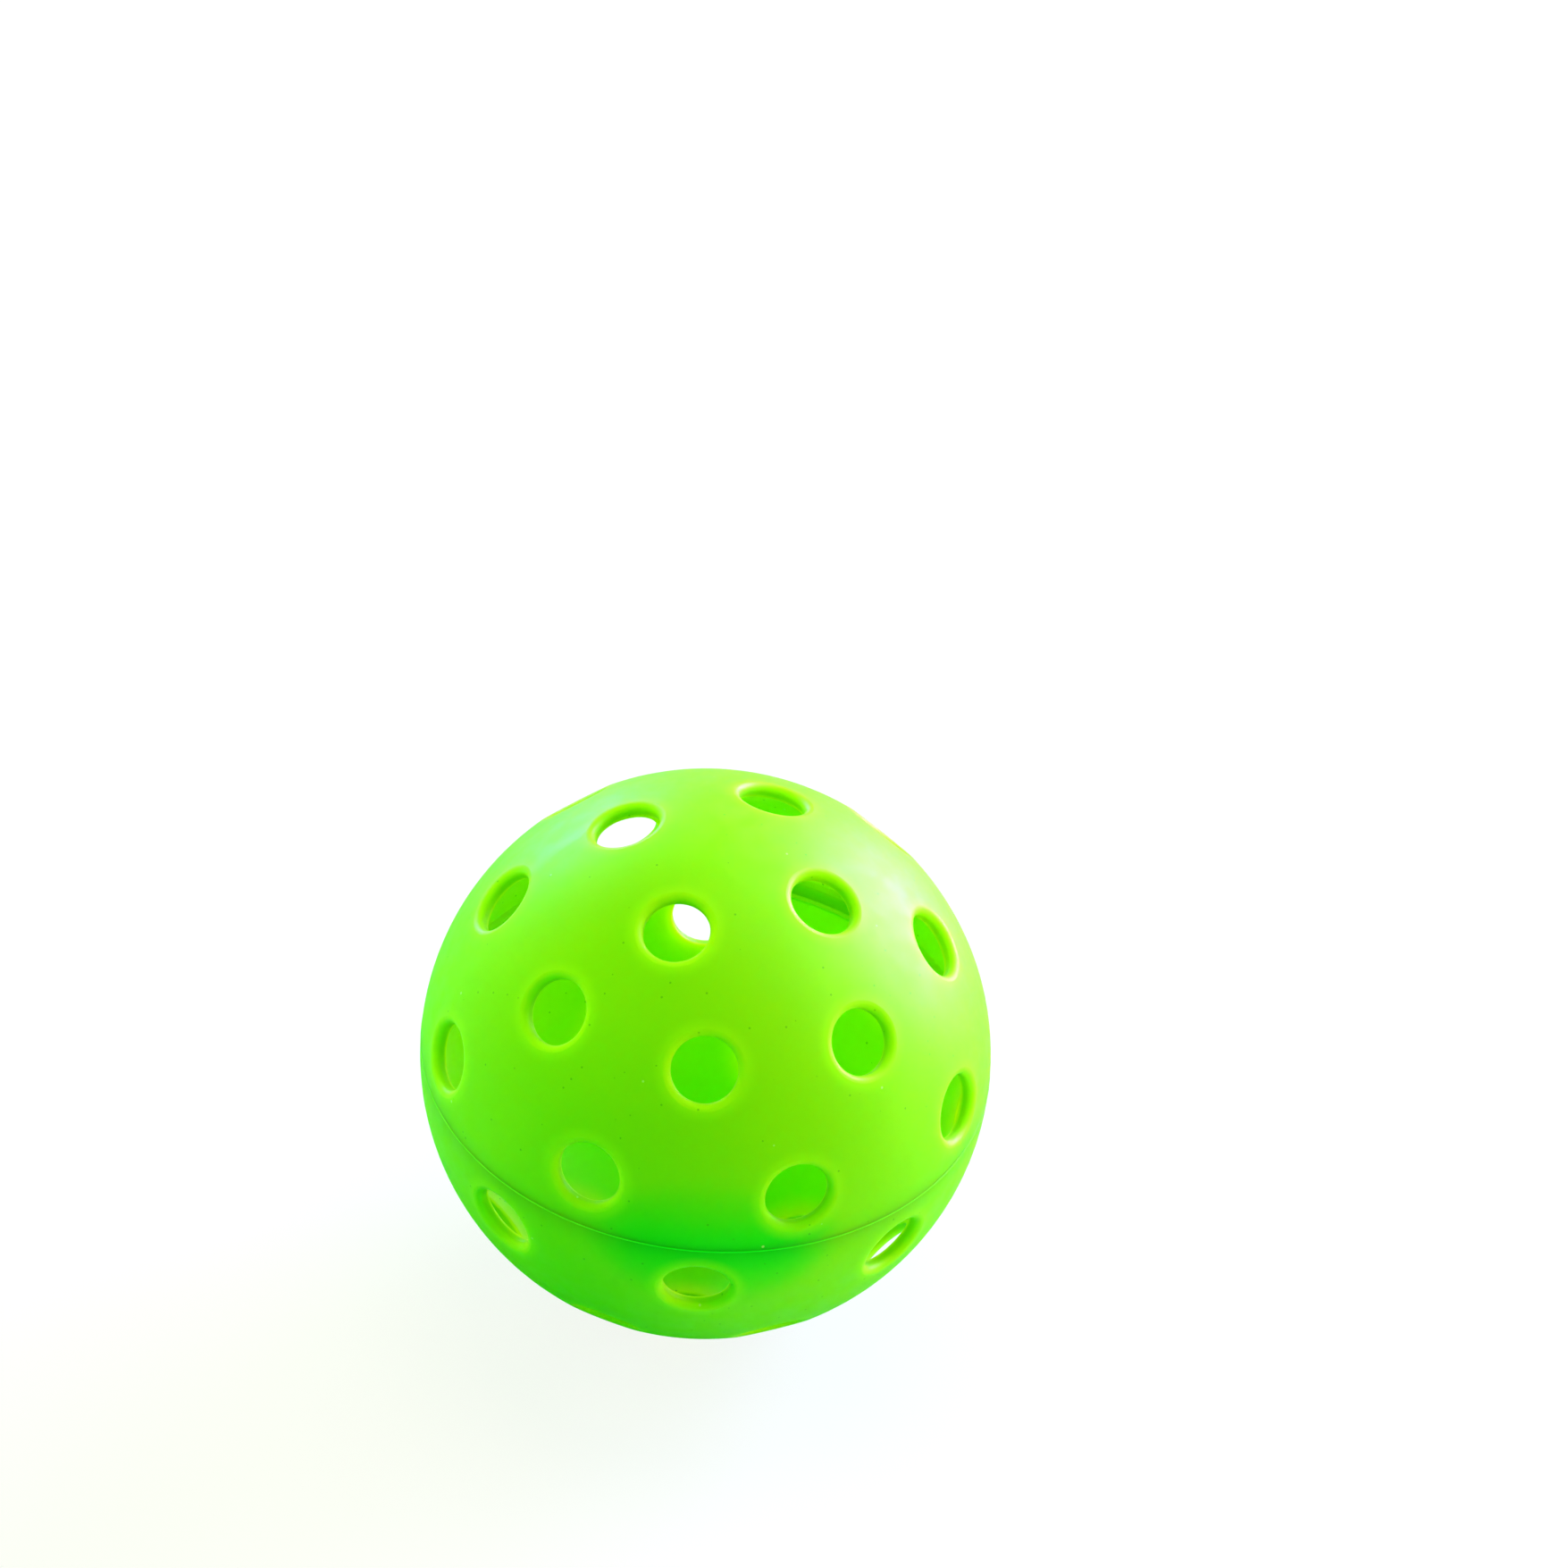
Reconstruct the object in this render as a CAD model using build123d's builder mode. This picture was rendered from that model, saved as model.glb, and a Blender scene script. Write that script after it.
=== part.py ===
from build123d import *
import os
from math import cos, radians, sin, sqrt

# Pickleball ball: two moulded half shells with a lap joint, welded together at the equator.
# Units are millimetres. The origin is the centre of the ball, +Z is the pole axis that the rows of
# holes run around, and the seam lies in the XY plane.

# ---- Driving dimensions ----
BALL_DIAMETER = 74.0
WALL = 1.9
HOLE_DIAMETER = 8.7
OUTER_EDGE_ROUND = 0.9        # rounding of each hole's mouth on the outside of the ball
INNER_EDGE_ROUND = 0.3        # rounding of each hole's mouth on the inside

# Rows of holes in one half, from the pole to the seam: latitude, number of holes, first azimuth.
FIRST_AZIMUTH = 10.0
HOLE_ROWS = (
    (67.1, 4, FIRST_AZIMUTH + 67.5),
    (40.0, 8, FIRST_AZIMUTH),
    (12.3, 8, FIRST_AZIMUTH + 22.5),
)
LOWER_HALF_TURN = 25.3        # how far the lower half is turned about +Z against the upper one

# Lap joint: a tongue on the upper half stands behind a thinned skirt on the lower half. A land
# thickens the wall inside the joint.
LAND_THICKNESS = 0.5
LAND_TOP = 0.8                # height where the land starts to blend into the upper wall
LAND_BOTTOM = -2.1            # height where it starts to blend into the lower wall
LAND_BLEND = 0.6
TONGUE_DEPTH = 1.4            # how far the tongue reaches below the seam
TONGUE_THICKNESS = 1.2

# Weld: the fused film that fills the lap joint, with a bead squeezed out at its inner end.
WELD_FILM = 0.24
WELD_FLASH = 0.04             # how far the weld stands proud of the ball's surface
WELD_BEAD_RADIUS = 0.3

# ---- Derived dimensions ----
OUTER_R = BALL_DIAMETER / 2
INNER_R = OUTER_R - WALL
HOLE_R = HOLE_DIAMETER / 2
HOLE_DEPTH = 3 * WALL
LAND_R = INNER_R - LAND_THICKNESS
TONGUE_OUTER_R = LAND_R + TONGUE_THICKNESS
SKIRT_INNER_R = TONGUE_OUTER_R + WELD_FILM
SEAM_TOP = WELD_FILM / 2
SEAM_BOTTOM = -WELD_FILM / 2
TONGUE_TIP = -TONGUE_DEPTH
REBATE_FLOOR = TONGUE_TIP - WELD_FILM
BEAD_CENTRE = (TONGUE_TIP + REBATE_FLOOR) / 2


def meridian_point(radius, height):
    """Point of the ball's cross-section at this distance from the centre and this height."""
    return (sqrt(radius**2 - height**2), height)


def hole_planes(side, turn):
    """One plane for each hole of a half, on the ball's surface and facing outwards.

    side is 1 for the upper half and -1 for the lower half, which is turned about +Z by turn.
    """
    planes = []
    for latitude, count, first_azimuth in HOLE_ROWS:
        for index in range(count):
            azimuth = radians(first_azimuth + turn + index * 360 / count)
            level = radians(side * latitude)
            outwards = Vector(cos(level) * cos(azimuth), cos(level) * sin(azimuth), sin(level))
            planes.append(Plane(origin=outwards * OUTER_R, z_dir=outwards))
    return planes


def mouth_edges(part, shell_radius):
    """The edges where the holes break through the sphere of this radius."""
    hole_edges = part.edges().filter_by(GeomType.BSPLINE)
    return hole_edges.filter_by(lambda edge: abs((edge @ 0.5).length - shell_radius) < WALL / 10)


# ---- Upper half shell, with the tongue ----
with BuildPart() as upper_half_shell:
    with BuildSketch(Plane.XZ):
        with BuildLine():
            rim = meridian_point(OUTER_R, SEAM_TOP)
            land_edge = meridian_point(INNER_R, LAND_TOP + LAND_BLEND)
            RadiusArc(rim, (0, OUTER_R), -OUTER_R)
            Line((0, OUTER_R), (0, INNER_R))
            RadiusArc((0, INNER_R), land_edge, INNER_R)
            Polyline(
                land_edge,
                (LAND_R, LAND_TOP),
                (LAND_R, TONGUE_TIP),
                (TONGUE_OUTER_R, TONGUE_TIP),
                (TONGUE_OUTER_R, SEAM_TOP),
                rim,
            )
        make_face()
    revolve(axis=Axis.Z)
    with Locations(*hole_planes(1, 0)):
        Hole(radius=HOLE_R, depth=HOLE_DEPTH)
    fillet(mouth_edges(upper_half_shell.part, OUTER_R), radius=OUTER_EDGE_ROUND)
    fillet(mouth_edges(upper_half_shell.part, INNER_R), radius=INNER_EDGE_ROUND)

# ---- Lower half shell, with the skirt and the rebate behind it ----
with BuildPart() as lower_half_shell:
    with BuildSketch(Plane.XZ):
        with BuildLine():
            rim = meridian_point(OUTER_R, SEAM_BOTTOM)
            land_edge = meridian_point(INNER_R, LAND_BOTTOM - LAND_BLEND)
            RadiusArc(rim, (0, -OUTER_R), OUTER_R)
            Line((0, -OUTER_R), (0, -INNER_R))
            RadiusArc((0, -INNER_R), land_edge, -INNER_R)
            Polyline(
                land_edge,
                (LAND_R, LAND_BOTTOM),
                (LAND_R, REBATE_FLOOR),
                (SKIRT_INNER_R, REBATE_FLOOR),
                (SKIRT_INNER_R, SEAM_BOTTOM),
                rim,
            )
        make_face()
    revolve(axis=Axis.Z)
    with Locations(*hole_planes(-1, LOWER_HALF_TURN)):
        Hole(radius=HOLE_R, depth=HOLE_DEPTH)
    fillet(mouth_edges(lower_half_shell.part, OUTER_R), radius=OUTER_EDGE_ROUND)
    fillet(mouth_edges(lower_half_shell.part, INNER_R), radius=INNER_EDGE_ROUND)

# ---- Weld: a film of Z section between the halves, its flash outside and its bead inside ----
with BuildPart() as weld_seam:
    with BuildSketch(Plane.XZ):
        with BuildLine():
            bead_top = (LAND_R, BEAD_CENTRE + WELD_BEAD_RADIUS)
            bead_bottom = (LAND_R, BEAD_CENTRE - WELD_BEAD_RADIUS)
            Polyline(
                bead_top,
                (LAND_R, TONGUE_TIP),
                (TONGUE_OUTER_R, TONGUE_TIP),
                (TONGUE_OUTER_R, SEAM_TOP),
                meridian_point(OUTER_R, SEAM_TOP),
                (OUTER_R + WELD_FLASH, SEAM_TOP / 2),
                (OUTER_R + WELD_FLASH, SEAM_BOTTOM / 2),
                meridian_point(OUTER_R, SEAM_BOTTOM),
                (SKIRT_INNER_R, SEAM_BOTTOM),
                (SKIRT_INNER_R, REBATE_FLOOR),
                (LAND_R, REBATE_FLOOR),
                bead_bottom,
            )
            ThreePointArc(bead_bottom, (LAND_R - WELD_BEAD_RADIUS, BEAD_CENTRE), bead_top)
        make_face()
    revolve(axis=Axis.Z)

# ---- Output: one STEP file for each piece ----
upper_half_shell.part.label = "upper_half_shell"
lower_half_shell.part.label = "lower_half_shell"
weld_seam.part.label = "weld_seam"

os.makedirs("parts", exist_ok=True)
export_step(upper_half_shell.part, "parts/upper_half_shell.step")
export_step(lower_half_shell.part, "parts/lower_half_shell.step")
export_step(weld_seam.part, "parts/weld_seam.step")
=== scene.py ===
from math import cos, radians, sin

import bpy
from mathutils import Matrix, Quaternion, Vector


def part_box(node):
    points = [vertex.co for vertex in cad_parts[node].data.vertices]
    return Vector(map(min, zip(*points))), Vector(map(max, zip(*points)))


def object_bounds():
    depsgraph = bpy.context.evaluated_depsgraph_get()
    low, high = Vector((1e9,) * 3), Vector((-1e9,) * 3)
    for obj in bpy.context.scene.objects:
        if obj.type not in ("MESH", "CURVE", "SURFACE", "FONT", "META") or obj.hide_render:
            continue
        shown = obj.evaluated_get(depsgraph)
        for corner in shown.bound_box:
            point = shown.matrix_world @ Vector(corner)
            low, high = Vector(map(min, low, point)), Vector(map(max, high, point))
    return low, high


# A pickleball ball of lime green plastic on white paper, lit like a bright product photograph. Bluish
# lights behind the ball make its pale highlights. Warm lights above it, left and right only colour it,
# because its gloss doesn't show them.

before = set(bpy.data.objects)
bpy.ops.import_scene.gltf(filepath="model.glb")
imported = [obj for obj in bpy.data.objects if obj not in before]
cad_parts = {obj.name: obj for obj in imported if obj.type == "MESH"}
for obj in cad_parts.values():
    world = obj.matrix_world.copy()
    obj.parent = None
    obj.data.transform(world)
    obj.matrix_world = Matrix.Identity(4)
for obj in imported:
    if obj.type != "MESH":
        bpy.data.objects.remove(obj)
cad_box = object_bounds()

# ---- Places taken from the frame, in metres ----
MM = 0.001
BALL_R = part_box("upper_half_shell")[1].z
FLOOR_Z = cad_box[0].z
WELD_LOW, WELD_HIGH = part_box("weld_seam")
JOINT_Z = (WELD_LOW.z + WELD_HIGH.z) / 2     # middle of the lap joint, a little below the seam

# ---- Camera: a long lens that looks down on the ball, which sits low and left in the frame ----
VIEW_AZIMUTH = 9.64
VIEW_ELEVATION = 42.64
VIEW_ROLL = 5.96
CAMERA_DISTANCE = 3.0
FRAME_WIDTH_IN_BALLS = 2.747       # width of the frame at the ball, in ball diameters
BALL_RIGHT_OF_MIDDLE = -0.0501     # place of the ball's centre, as a share of the frame's width
BALL_ABOVE_MIDDLE = -0.172
SENSOR_MM = 36.0
CLIP_START = 0.1
CLIP_END = 50.0

# ---- Light ----
SKY_COLOUR = (0.26, 0.90, 0.10)
SKY_STRENGTH = 0.60
LIGHT_DISTANCE = 1.2
# Direction from the ball's centre, width in metres, power in watts, colour, and whether gloss shows it.
LIGHTS = {
    "key_light": ((0.65, 0.77, 0.31), 1.0, 30.0, (0.57, 0.50, 1.0), True),
    "top_light": ((-0.05, 0.35, 1.0), 1.0, 8.5, (1.0, 0.74, 0.5), False),
    "back_light": ((-0.62, 0.78, 0.02), 0.6, 14.0, (0.15, 0.6, 1.0), True),
    "rim_light": ((0.56, 0.82, 0.14), 0.9, 26.0, (0.15, 0.40, 1.0), True),
    "left_light": ((-0.95, 0.0, 0.25), 0.8, 8.0, (1.0, 0.90, 0.5), False),
    "right_light": ((0.95, -0.3, 0.12), 0.6, 10.5, (1.0, 0.46, 0.0), False),
}

# ---- Surroundings, in metres ----
FLOOR_HALF = 6.0
WALL_RADIUS = 3.4
WALL_TOP = 4.0
WALL_SIDES = 96
BOUNCE_GAP = 0.1 * MM              # how far the bounce sheet lies below the floor

# ---- Colours, linear ----
PLASTIC = (0.31, 0.76, 0.003)
PLASTIC_DEEP = (0.24, 0.73, 0.003)
JOINT_GREEN = (0.0, 0.74, 0.002)   # outside, along the weld: painted shade where less light comes through the joint
RIM_YELLOW = (0.44, 0.92, 0.006)   # outside, around each hole: painted glow of light that comes through the holes' walls
WALL_GREEN = (0.33, 0.74, 0.002)   # walls of the holes, a little darker: painted shade in the bores
# Inner face: painted light that comes through the shell. It is yellow-green, greener as painted shade
# towards the bottom and behind the lap joint, and yellower as a painted glow around each hole.
INSIDE = (0.50, 0.86, 0.003)
INSIDE_LOW = (0.22, 0.90, 0.003)
INSIDE_JOINT = (0.30, 0.98, 0.002)
INSIDE_RIM = (0.72, 0.94, 0.01)
INSIDE_GLOW = (0.01, 0.035, 0.0)   # stands in for light that comes through the shell
SPECK_DARK = (0.05, 0.42, 0.004)
SPECK_PALE = (0.66, 0.98, 0.40)
WELD_GREEN = (0.30, 0.98, 0.004)
WELD_DEEP = (0.24, 0.94, 0.004)
WELD_FRONT = (0.0, 0.96, 0.002)    # painted shade, where the band along it is deepest
WELD_GLOW = (0.003, 0.08, 0.0)
WELD_BEAD_GREEN = (0.55, 0.97, 0.004)
WELD_BEAD_GLOW = (0.02, 0.12, 0.0)
BLACK = (0.0, 0.0, 0.0)
PAPER = (0.92, 0.80, 0.92)
PAPER_GLOW = 0.84                  # share of its brightness that is its own, so that shadows stay pale
MATT = 0.9                         # roughness of the sheets around the ball
BOUNCE = (0.02, 0.62, 0.25)        # a court under the ball that lights it but isn't seen

# ---- Plastic ----
SCATTER_MM = (3.2, 3.4, 0.4)       # how far red, green and blue light spread in it
PLASTIC_IOR = 1.5
SPECULAR_TINT = (0.95, 1.0, 0.3)
NOISE_RANGE = (0.3, 0.7)           # noise values that are spread over a whole range of looks
CLOUD_MM = 14.0
CLOUD_RANGE = (0.35, 0.65)
CLOUD_SHARE = 0.3                  # share of PLASTIC_DEEP in the darkest clouds
SATIN_MM = 3.0                     # size of the duller and glossier patches
SATIN_ROUGHNESS = (0.42, 0.54)
FINE_GRAIN_MM = 0.35
FINE_GRAIN_ROUGHNESS = 0.6
COARSE_GRAIN_MM = 6.0
COARSE_GRAIN_HEIGHT = 3.0          # in heights of the fine grain
GRAIN_STRENGTH = 0.25
GRAIN_HEIGHT_MM = 0.03
WELD_CLOUD_MM = 1.2
WELD_SATIN_MM = 0.8
WELD_SATIN_ROUGHNESS = (0.42, 0.55)
WELD_GRAIN_MM = 0.3
WELD_GRAIN_STRENGTH = 0.3
WELD_GRAIN_HEIGHT_MM = 0.02
DARK_SPECK_STEP_MM = 2.4           # mean distance between specks
DARK_SPECK_SIZE = (0.075, 0.05)    # radius where a speck starts and where it is full, in steps
DARK_SPECK_SHARE = 0.6
PALE_SPECK_STEP_MM = 6.5
PALE_SPECK_SIZE = (0.04, 0.02)
PALE_SPECK_SHARE = 0.8

# ---- Zones of colour: where each starts and where it is full, in millimetres unless it says otherwise ----
WALL_DEPTH = (0.5, 1.1)            # depth of the holes' walls below the outer surface
INNER_DEPTH = (1.4, 1.8)           # the same for the inner face
BEAD_DEPTH = (0.5, 1.5)            # the same for the weld's bead
RIM_FADE = (0.6, 2.8)              # distances from the bore over which a hole's rim fades out
RIM_SHARE = 0.5                    # share of RIM_YELLOW at the bore
INNER_RIM_FADE = (0.0, 4.5)
INNER_RIM_SHARE = 0.8
JOINT_FADE = (1.0, 2.2)            # distances from the joint's middle height over which its green fades out
INNER_HEIGHTS = (-0.98, -0.45)     # from INSIDE_LOW to INSIDE, in radii of the ball

# The band along the weld is painted shade: its reach in millimetres and its share of the green along the
# weld, first elsewhere and then at its deepest, on the side of the ball that faced the camera.
BAND_REACH = (4.0, 15.0)
BAND_SHARE = (0.2, 0.97)
BAND_FRONT_AZIMUTH = -75.0
BAND_FRONT_EDGE = 0.85             # how far towards that side it starts to deepen, in radii of the ball

# ---- Holes, as in the CAD model: latitude in degrees, number of holes, azimuth of the first one ----
FIRST_AZIMUTH = 10.0
HOLE_ROWS = ((67.1, 4, FIRST_AZIMUTH + 67.5), (40.0, 8, FIRST_AZIMUTH), (12.3, 8, FIRST_AZIMUTH + 22.5))
LOWER_HALF_TURN = 25.3
HOLE_R_MM = 4.35


def make_camera():
    """The camera looks along the view's angles, and stands aside so that the ball is off-centre."""
    azimuth, elevation = radians(VIEW_AZIMUTH), radians(VIEW_ELEVATION)
    back = Vector((sin(azimuth) * cos(elevation), -cos(azimuth) * cos(elevation), sin(elevation)))
    turn = back.to_track_quat("Z", "Y") @ Quaternion((0, 0, 1), radians(VIEW_ROLL))
    frame_width = FRAME_WIDTH_IN_BALLS * 2 * BALL_R
    to_ball = turn @ Vector((BALL_RIGHT_OF_MIDDLE, BALL_ABOVE_MIDDLE, 0)) * frame_width
    data = bpy.data.cameras.new("camera")
    data.sensor_width = SENSOR_MM
    data.lens = SENSOR_MM * CAMERA_DISTANCE / frame_width
    data.clip_start = CLIP_START
    data.clip_end = CLIP_END
    camera = bpy.data.objects.new("camera", data)
    camera.rotation_mode = "QUATERNION"
    camera.rotation_quaternion = turn
    camera.location = back * CAMERA_DISTANCE - to_ball
    bpy.context.scene.collection.objects.link(camera)
    bpy.context.scene.camera = camera


def area_light(name, direction, size, power, colour, seen_in_gloss):
    """A round soft light that stands in this direction from the ball's centre and faces it."""
    direction = Vector(direction).normalized()
    data = bpy.data.lights.new(name, "AREA")
    data.shape = "DISK"
    data.size = size
    data.energy = power
    data.color = colour
    light = bpy.data.objects.new(name, data)
    light.location = direction * LIGHT_DISTANCE
    light.rotation_mode = "QUATERNION"
    light.rotation_quaternion = direction.to_track_quat("Z", "Y")
    light.visible_camera = False
    light.visible_glossy = seen_in_gloss
    bpy.context.scene.collection.objects.link(light)


def make_light():
    """All the lights, a plain sky, and colours shown as they are."""
    bpy.context.scene.view_settings.view_transform = "Standard"
    for name, settings in LIGHTS.items():
        area_light(name, *settings)
    world = bpy.data.worlds.new("sky")
    world.use_nodes = True
    sky = world.node_tree.nodes["Background"]
    sky.inputs["Color"].default_value = (*SKY_COLOUR, 1)
    sky.inputs["Strength"].default_value = SKY_STRENGTH
    bpy.context.scene.world = world


class Nodes:
    """Short calls to add and link the nodes of one material. A plain number or colour sets a socket."""

    def __init__(self, name):
        self.material = bpy.data.materials.new(name)
        self.material.use_nodes = True
        self.tree = self.material.node_tree
        self.shader = self.tree.nodes["Principled BSDF"]
        self.place = self.tree.nodes.new("ShaderNodeTexCoord").outputs["Object"]

    def put(self, node, **inputs):
        """Set or link inputs by name, or by number as i0, i1 and so on."""
        for name, value in inputs.items():
            by_number = name[0] == "i" and name[1:].isdigit()
            socket = node.inputs[int(name[1:]) if by_number else name]
            if isinstance(value, bpy.types.NodeSocket):
                self.tree.links.new(value, socket)
            else:
                socket.default_value = value
        return node

    def noise(self, size_mm, detail=2.0, roughness=0.5):
        """Soft noise with features of this size, from 0 to 1."""
        node = self.tree.nodes.new("ShaderNodeTexNoise")
        self.put(node, Vector=self.place, Scale=1 / (size_mm * MM), Detail=detail, Roughness=roughness)
        return node.outputs["Fac"]

    def cells(self, step_mm):
        """Distance to the nearest of many scattered points, in steps."""
        node = self.tree.nodes.new("ShaderNodeTexVoronoi")
        self.put(node, Vector=self.place, Scale=1 / (step_mm * MM))
        return node.outputs["Distance"]

    def spread(self, value, low, high, to_low=0.0, to_high=1.0):
        """value taken from low..high to to_low..to_high along a smooth step."""
        node = self.tree.nodes.new("ShaderNodeMapRange")
        node.interpolation_type = "SMOOTHSTEP"
        self.put(node, i0=value, i1=low, i2=high, i3=to_low, i4=to_high)
        return node.outputs[0]

    def maths(self, operation, *values):
        """Result of one of Blender's math operations."""
        node = self.tree.nodes.new("ShaderNodeMath")
        node.operation = operation
        self.put(node, **{f"i{index}": value for index, value in enumerate(values)})
        return node.outputs[0]

    def mix(self, share, first, second):
        """first where share is 0 and second where it is 1."""
        node = self.tree.nodes.new("ShaderNodeMix")
        node.data_type = "RGBA"
        colours = [v if isinstance(v, bpy.types.NodeSocket) else (*v, 1) for v in (first, second)]
        self.put(node, i0=share, i6=colours[0], i7=colours[1])
        return node.outputs[2]

    def radius(self):
        """Distance from the ball's centre."""
        node = self.tree.nodes.new("ShaderNodeVectorMath")
        node.operation = "LENGTH"
        self.put(node, i0=self.place)
        return node.outputs["Value"]

    def deeper(self, radius, depths_mm):
        """0 at the first of two depths below the ball's surface and above it, 1 at the second and below."""
        start, full = depths_mm
        return self.spread(radius, BALL_R - start * MM, BALL_R - full * MM)

    def axes(self):
        """X, Y and Z measured from the ball's centre."""
        node = self.tree.nodes.new("ShaderNodeSeparateXYZ")
        self.put(node, i0=self.place)
        return node.outputs["X"], node.outputs["Y"], node.outputs["Z"]

    def nearest_hole(self):
        """Distance from the axis of the nearest hole, in millimetres along the ball's surface."""
        x, y, z = self.axes()
        lower = self.maths("LESS_THAN", z, 0.0)
        turn = self.maths("MULTIPLY", lower, radians(LOWER_HALF_TURN))
        azimuth = self.maths("SUBTRACT", self.maths("ARCTAN2", y, x), turn)
        sine = self.maths("DIVIDE", self.maths("ABSOLUTE", z), self.radius())
        cosine = self.maths("SQRT", self.maths("SUBTRACT", 1.0, self.maths("MULTIPLY", sine, sine)))
        nearest = 0.0
        for latitude, count, first in HOLE_ROWS:
            step = radians(360 / count)
            start = self.maths("ADD", azimuth, step / 2 - radians(first))
            turned = self.maths("SUBTRACT", self.maths("FLOORED_MODULO", start, step), step / 2)
            level = self.maths("MULTIPLY", cosine, cos(radians(latitude)))
            across = self.maths("MULTIPLY", level, self.maths("COSINE", turned))
            upright = self.maths("MULTIPLY", sine, sin(radians(latitude)))
            nearest = self.maths("MAXIMUM", nearest, self.maths("ADD", across, upright))
        angle = self.maths("ARCCOSINE", self.maths("MINIMUM", nearest, 1.0))
        return self.maths("MULTIPLY", angle, BALL_R / MM)

    def rim(self, hole, fade_mm, share):
        """share at a hole's bore, fading to 0 between two distances from it."""
        start, end = fade_mm
        return self.spread(hole, HOLE_R_MM + start, HOLE_R_MM + end, share, 0.0)

    def front_of_band(self):
        """1 at the azimuth where the painted shade along the weld is deepest, fading to 0 to both sides of
        it.
        """
        x, y, _ = self.axes()
        along = self.maths("MULTIPLY", x, cos(radians(BAND_FRONT_AZIMUTH)))
        forwards = self.maths("ADD", along, self.maths("MULTIPLY", y, sin(radians(BAND_FRONT_AZIMUTH))))
        return self.spread(forwards, BAND_FRONT_EDGE * BALL_R, BALL_R)

    def bump(self, height, strength, height_mm):
        """Surface relief, where a height of 1 stands this many millimetres high."""
        node = self.tree.nodes.new("ShaderNodeBump")
        self.put(node, Height=height, Strength=strength, Distance=height_mm * MM)
        self.put(self.shader, Normal=node.outputs["Normal"])


def outer_colour(n, hole, height):
    """Clouded plastic, a deeper band along the weld that is painted shade, and a yellower rim around each
    hole that is a painted glow.
    """
    front = n.front_of_band()
    share = n.spread(front, 0.0, 1.0, *BAND_SHARE)
    reach = n.spread(front, 0.0, 1.0, BAND_REACH[0] * MM, BAND_REACH[1] * MM)
    clouds = n.spread(n.noise(CLOUD_MM, 3), *CLOUD_RANGE)
    colour = n.mix(n.maths("MULTIPLY", clouds, CLOUD_SHARE), PLASTIC, PLASTIC_DEEP)
    band = n.spread(n.maths("ABSOLUTE", height), 0.0, reach, 1.0, 0.0)
    colour = n.mix(n.maths("MULTIPLY", band, share), colour, JOINT_GREEN)
    # Painted glow around each hole.
    rim = n.rim(hole, RIM_FADE, RIM_SHARE)
    return n.mix(rim, colour, RIM_YELLOW)


def inner_colour(n, hole, height):
    """The inner face, with painted light that comes through the shell: greener towards the bottom and
    behind the lap joint, where it is painted shade, and yellower around each hole, as a painted glow.
    """
    low, high = INNER_HEIGHTS
    colour = n.mix(n.spread(height, low * BALL_R, high * BALL_R), INSIDE_LOW, INSIDE)
    off_joint = n.maths("ABSOLUTE", n.maths("SUBTRACT", height, JOINT_Z))
    colour = n.mix(n.spread(off_joint, JOINT_FADE[0] * MM, JOINT_FADE[1] * MM), INSIDE_JOINT, colour)
    rim = n.rim(hole, INNER_RIM_FADE, INNER_RIM_SHARE)
    return n.mix(rim, colour, INSIDE_RIM)


def shell_plastic():
    """Satin translucent polyethylene, with clouds, specks and a fine grain."""
    n = Nodes("shell_plastic")
    radius = n.radius()
    hole = n.nearest_hole()
    height = n.axes()[2]
    inside = n.deeper(radius, INNER_DEPTH)
    # The holes' walls get a little painted shade.
    colour = n.mix(n.deeper(radius, WALL_DEPTH), outer_colour(n, hole, height), WALL_GREEN)
    colour = n.mix(inside, colour, inner_colour(n, hole, height))
    dark_specks = n.spread(n.cells(DARK_SPECK_STEP_MM), *DARK_SPECK_SIZE, 0.0, DARK_SPECK_SHARE)
    pale_specks = n.spread(n.cells(PALE_SPECK_STEP_MM), *PALE_SPECK_SIZE, 0.0, PALE_SPECK_SHARE)
    colour = n.mix(dark_specks, colour, SPECK_DARK)
    colour = n.mix(pale_specks, colour, SPECK_PALE)
    fine_grain = n.noise(FINE_GRAIN_MM, 3, FINE_GRAIN_ROUGHNESS)
    coarse_grain = n.maths("MULTIPLY", n.noise(COARSE_GRAIN_MM, 2), COARSE_GRAIN_HEIGHT)
    n.bump(n.maths("ADD", fine_grain, coarse_grain), GRAIN_STRENGTH, GRAIN_HEIGHT_MM)
    n.put(n.shader, IOR=PLASTIC_IOR, **{
        "Base Color": colour,
        "Roughness": n.spread(n.noise(SATIN_MM, 4), *NOISE_RANGE, *SATIN_ROUGHNESS),
        "Specular Tint": (*SPECULAR_TINT, 1),
        "Subsurface Weight": 1.0,
        "Subsurface Radius": [v * MM for v in SCATTER_MM],
        "Subsurface Scale": 1.0,
        "Emission Color": n.mix(inside, BLACK, INSIDE_GLOW),
        "Emission Strength": 1.0,
    })
    return n.material


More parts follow.
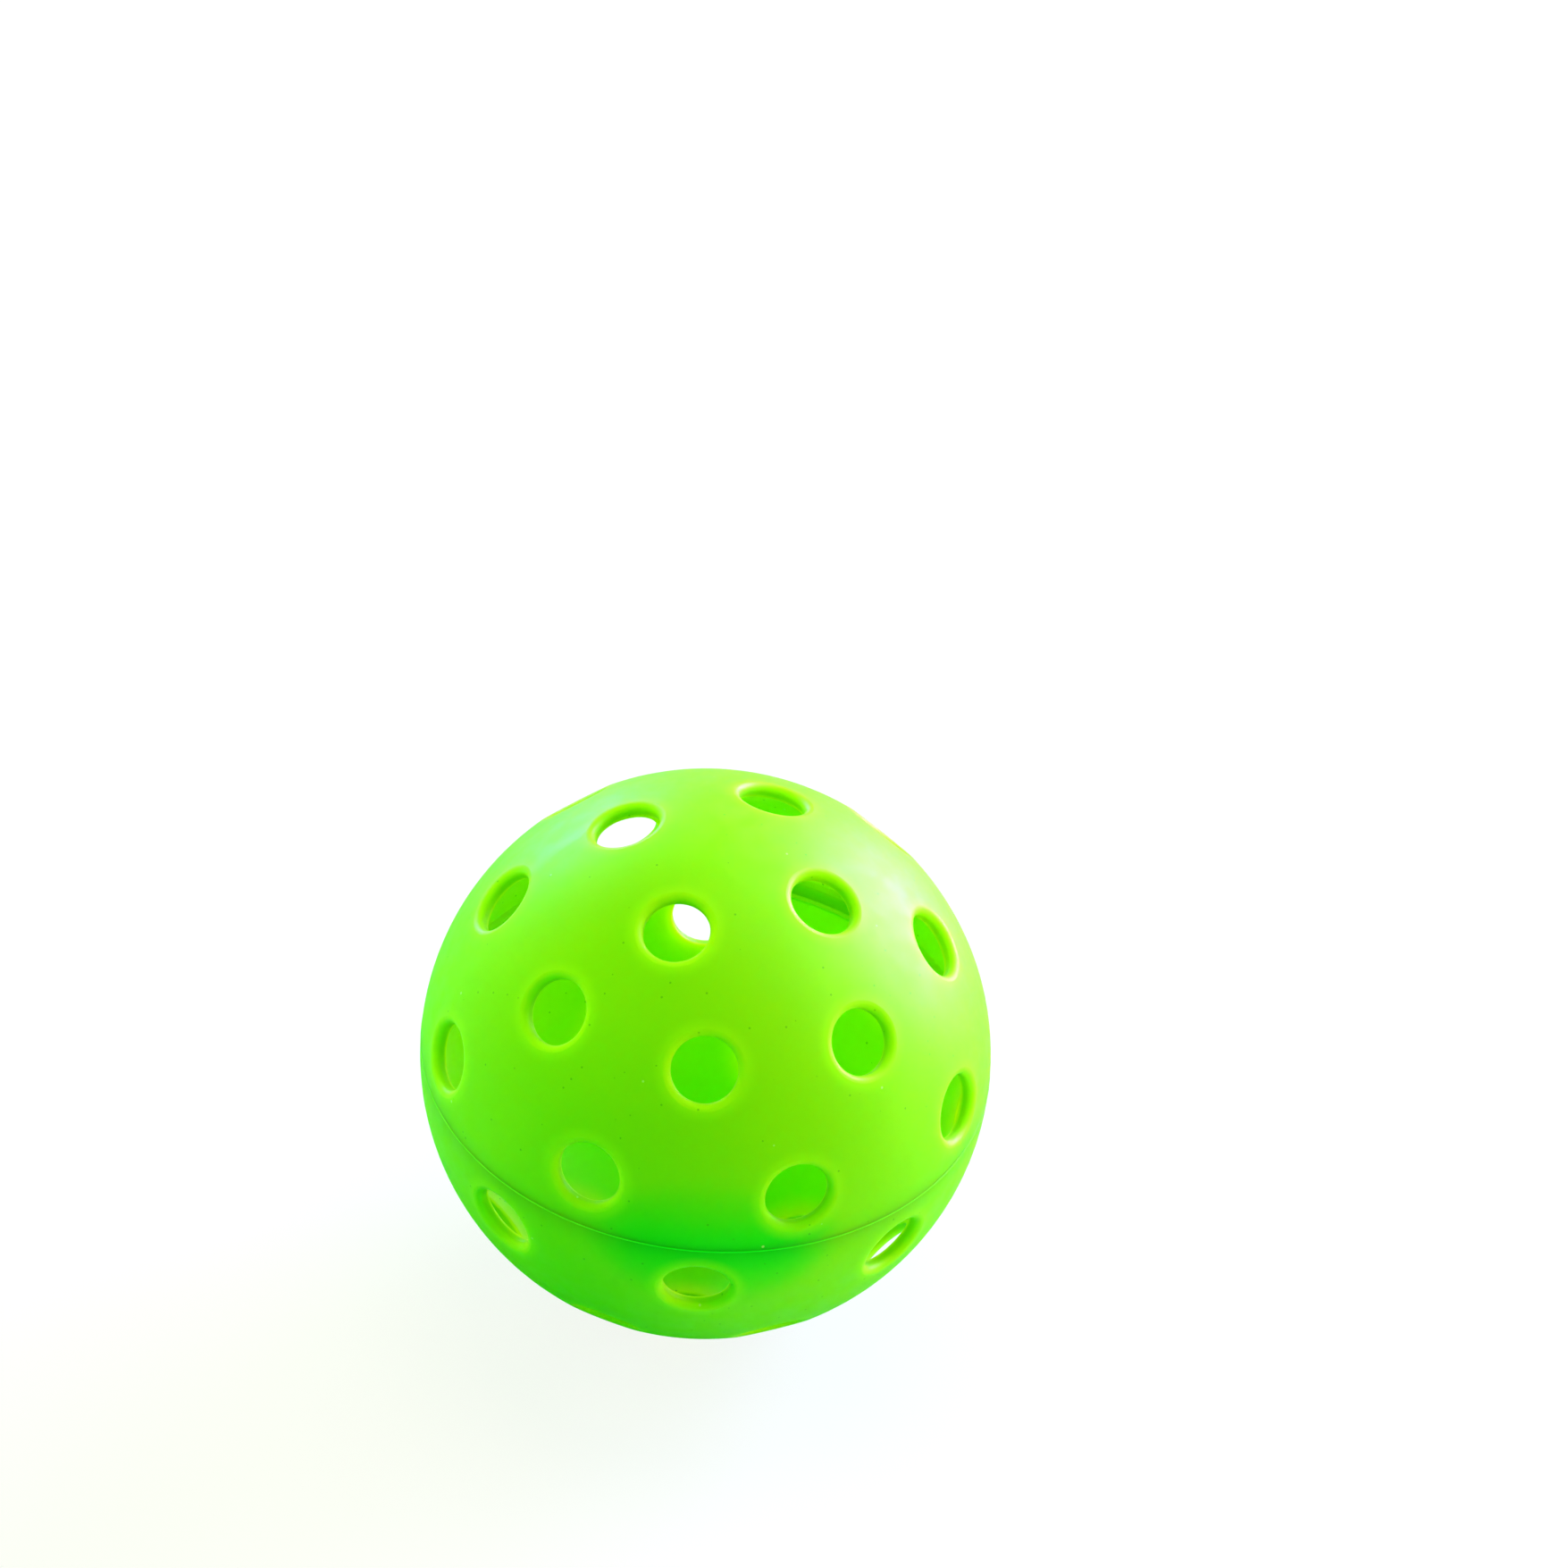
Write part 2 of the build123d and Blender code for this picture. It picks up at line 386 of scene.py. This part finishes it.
def weld_plastic():
    """Fused plastic of the weld, with a yellower bead inside.

    Light doesn't scatter in this thin film, so a brighter colour and a weak glow make up for that.
    """
    n = Nodes("weld_plastic")
    bead = n.deeper(n.radius(), BEAD_DEPTH)
    colour = n.mix(n.spread(n.noise(WELD_CLOUD_MM, 3), *NOISE_RANGE), WELD_GREEN, WELD_DEEP)
    # Painted shade: the weld is deeper green on the side where the band along it is deepest.
    colour = n.mix(n.front_of_band(), colour, WELD_FRONT)
    n.bump(n.noise(WELD_GRAIN_MM, 3), WELD_GRAIN_STRENGTH, WELD_GRAIN_HEIGHT_MM)
    n.put(n.shader, **{
        "Base Color": n.mix(bead, colour, WELD_BEAD_GREEN),
        "Roughness": n.spread(n.noise(WELD_SATIN_MM, 3), *NOISE_RANGE, *WELD_SATIN_ROUGHNESS),
        "Emission Color": n.mix(bead, WELD_GLOW, WELD_BEAD_GLOW),
        "Emission Strength": 1.0,
    })
    return n.material


def floor_paper():
    """White paper that mostly shines by itself, so that the shadow on it stays pale."""
    n = Nodes("floor_paper")
    n.put(n.shader, Roughness=MATT, **{
        "Base Color": (*[v * (1 - PAPER_GLOW) for v in PAPER], 1),
        "Emission Color": (1, 1, 1, 1),
        "Emission Strength": PAPER_GLOW,
    })
    return n.material


def bounce_sheet():
    """Matt bluish green, which lights the ball's underside."""
    n = Nodes("bounce_sheet")
    n.put(n.shader, Roughness=MATT, **{"Base Color": (*BOUNCE, 1)})
    return n.material


def floor_shape(height):
    """Points and face of a square sheet at this height."""
    corners = [(-1, -1), (1, -1), (1, 1), (-1, 1)]
    return [(x * FLOOR_HALF, y * FLOOR_HALF, height) for x, y in corners], [(0, 1, 2, 3)]


def wall_shape():
    """Points and faces of an upright ring that stands on the floor around the ball and the camera."""
    points, faces = [], []
    for index in range(WALL_SIDES):
        angle = radians(index * 360 / WALL_SIDES)
        for height in (FLOOR_Z, WALL_TOP):
            points.append((WALL_RADIUS * cos(angle), WALL_RADIUS * sin(angle), height))
        following = (index + 1) % WALL_SIDES
        faces.append((2 * index, 2 * following, 2 * following + 1, 2 * index + 1))
    return points, faces


def make_sheet(name, shape, material, seen_by_camera):
    """A sheet around the ball that either only the camera sees or only the light does."""
    points, faces = shape
    mesh = bpy.data.meshes.new(name)
    mesh.from_pydata(points, [], faces)
    mesh.materials.append(material)
    sheet = bpy.data.objects.new(name, mesh)
    sheet.visible_camera = seen_by_camera
    sheet.visible_shadow = not seen_by_camera
    sheet.visible_diffuse = not seen_by_camera
    sheet.visible_glossy = not seen_by_camera
    sheet.visible_transmission = not seen_by_camera
    bpy.context.scene.collection.objects.link(sheet)


def give(node, material):
    """Make a CAD node of this material only."""
    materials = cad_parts[node].data.materials
    materials.clear()
    materials.append(material)


make_camera()
make_light()
paper = floor_paper()
make_sheet("floor", floor_shape(FLOOR_Z), paper, True)
make_sheet("wall", wall_shape(), paper, True)
make_sheet("bounce", floor_shape(FLOOR_Z - BOUNCE_GAP), bounce_sheet(), False)
shell = shell_plastic()
give("upper_half_shell", shell)
give("lower_half_shell", shell)
give("weld_seam", weld_plastic())
